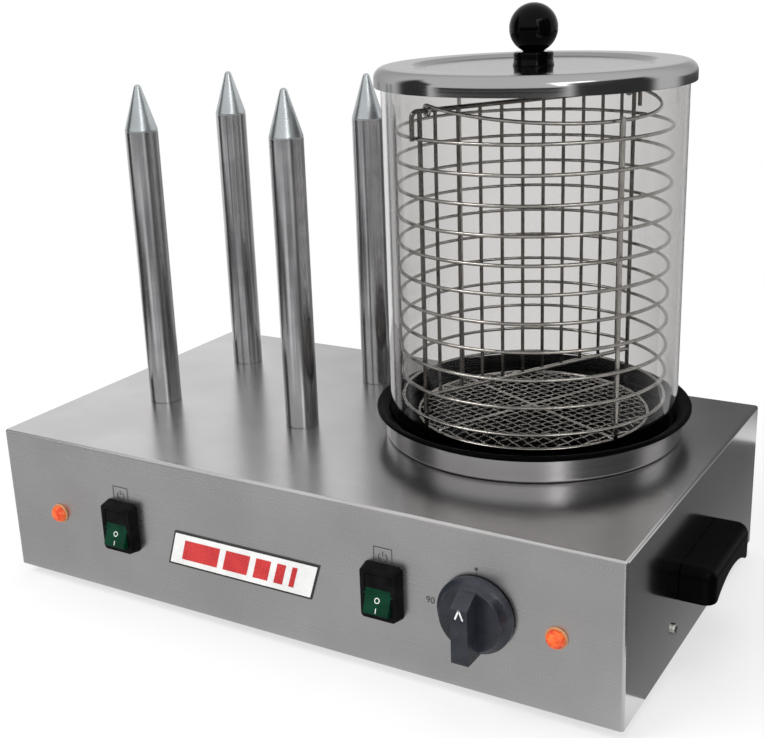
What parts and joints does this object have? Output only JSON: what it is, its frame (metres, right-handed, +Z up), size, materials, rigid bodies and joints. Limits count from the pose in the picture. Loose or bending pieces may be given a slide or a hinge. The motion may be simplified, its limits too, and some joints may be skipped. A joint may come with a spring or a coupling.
{
  "type": "hot dog machine",
  "caption": "Counter-top hot dog machine with heated bun spikes and a lidded glass sausage steamer holding a divided wire basket, on a sheet steel control box.",
  "frame": {"origin": "centre of the whole object's footprint box, on the surface that the feet stand on", "axes": "+X to the right seen from the control panel, +Y to the rear, +Z up"},
  "size_m": [0.525, 0.326, 0.4072],
  "materials": {
    "steel_sheet": "satin",
    "spike_steel": "satin",
    "spike_aluminium": "satin",
    "polished_steel": "polished",
    "wire_chrome": "polished",
    "clear_glass": "gloss",
    "dish_coating": "semi-gloss",
    "black_gloss": "gloss",
    "black_plastic": "fine grain",
    "knob_plastic": "fine grain",
    "rocker_green": "gloss",
    "lens_orange": "gloss",
    "lamp_white": "satin",
    "plate_white": "satin",
    "foot_rubber": "matte",
    "fastener_steel": "satin",
    "heater_steel": "matte",
    "contact_brass": "satin"
  },
  "bodies": {
    "base": {"base_tray": "steel_sheet", "collar_ring": "polished_steel", "collar_screws": "fastener_steel", "dish_clamp_bar": "fastener_steel", "dish_clamp_nut": "fastener_steel", "dish_heater": "heater_steel", "foot_front_left": "foot_rubber", "foot_front_right": "foot_rubber", "foot_rear_left": "foot_rubber", "foot_rear_right": "foot_rubber", "foot_screws": "fastener_steel", "gland_body": "black_plastic", "gland_dome_nut": "black_plastic", "gland_locknut": "black_plastic", "handle_screws": "fastener_steel", "housing": "steel_sheet", "left_handle": "black_plastic", "left_lamp_holder": "lamp_white", "left_lamp_lens": "lens_orange", "left_switch_frame": "black_plastic", "name_plate": "plate_white", "right_handle": "black_plastic", "right_lamp_holder": "lamp_white", "right_lamp_lens": "lens_orange", "right_switch_frame": "black_plastic", "spike_heaters": "heater_steel", "spike_necks": "fastener_steel", "spike_nuts": "fastener_steel", "spike_tip_front_left": "spike_aluminium", "spike_tip_front_right": "spike_aluminium", "spike_tip_rear_left": "spike_aluminium", "spike_tip_rear_right": "spike_aluminium", "spike_tube_front_left": "spike_steel", "spike_tube_front_right": "spike_steel", "spike_tube_rear_left": "spike_steel", "spike_tube_rear_right": "spike_steel", "switch_terminals": "contact_brass", "terminal_block": "lamp_white", "thermostat_body": "heater_steel", "thermostat_bulb": "contact_brass", "thermostat_screws": "fastener_steel", "tray_screws": "fastener_steel", "water_dish": "dish_coating"},
    "glass": {"glass_cylinder": "clear_glass"},
    "lid": {"lid": "polished_steel", "lid_knob_collar": "black_gloss", "lid_knob": "black_gloss", "lid_screw": "fastener_steel"},
    "basket": {"basket_rings": "wire_chrome", "basket_divider": "wire_chrome", "basket_posts": "wire_chrome"},
    "bail": {"basket_bail": "wire_chrome"},
    "sieve": {"sieve_frame": "wire_chrome", "sieve_net": "wire_chrome"},
    "left_rocker": {"left_rocker": "rocker_green"},
    "right_rocker": {"right_rocker": "rocker_green"},
    "knob": {"thermostat_shaft": "fastener_steel", "thermostat_knob": "knob_plastic"}
  },
  "joints": [
    {"name": "left_rocker_tilt", "type": "hinge", "parent": "base", "child": "left_rocker", "pos_m": [-0.13104, -0.1455, 0.062], "axis": [1, 0, 0], "range_deg": [0, 20]},
    {"name": "right_rocker_tilt", "type": "hinge", "parent": "base", "child": "right_rocker", "pos_m": [0.08256, -0.1455, 0.062], "axis": [1, 0, 0], "range_deg": [0, 20]},
    {"name": "thermostat_turn", "type": "hinge", "parent": "base", "child": "knob", "pos_m": [0.147, -0.139, 0.062], "axis": [0, 1, 0], "range_deg": [0, 270]},
    {"name": "glass_lift", "type": "slide", "parent": "base", "child": "glass", "axis": [0, 0, 1], "range_m": [0, 0.25]},
    {"name": "lid_lift", "type": "slide", "parent": "glass", "child": "lid", "axis": [0, 0, 1], "range_m": [0, 0.4]},
    {"name": "basket_lift", "type": "slide", "parent": "base", "child": "basket", "axis": [0, 0, 1], "range_m": [0, 0.24]},
    {"name": "bail_swing", "type": "hinge", "parent": "basket", "child": "bail", "pos_m": [0.108, 0.031, 0.346], "axis": [-0.4848, -0.8746, 0], "range_deg": [0, 97]},
    {"name": "sieve_lift", "type": "slide", "parent": "base", "child": "sieve", "axis": [0, 0, 1], "range_m": [0, 0.12]}
  ],
  "couplings": [
    {"joint": "basket_lift", "follows": "lid_lift", "ratio": 0.6},
    {"joint": "bail_swing", "follows": "lid_lift", "rad_per_m": 4.2},
    {"joint": "sieve_lift", "follows": "lid_lift", "ratio": 0.3}
  ]
}
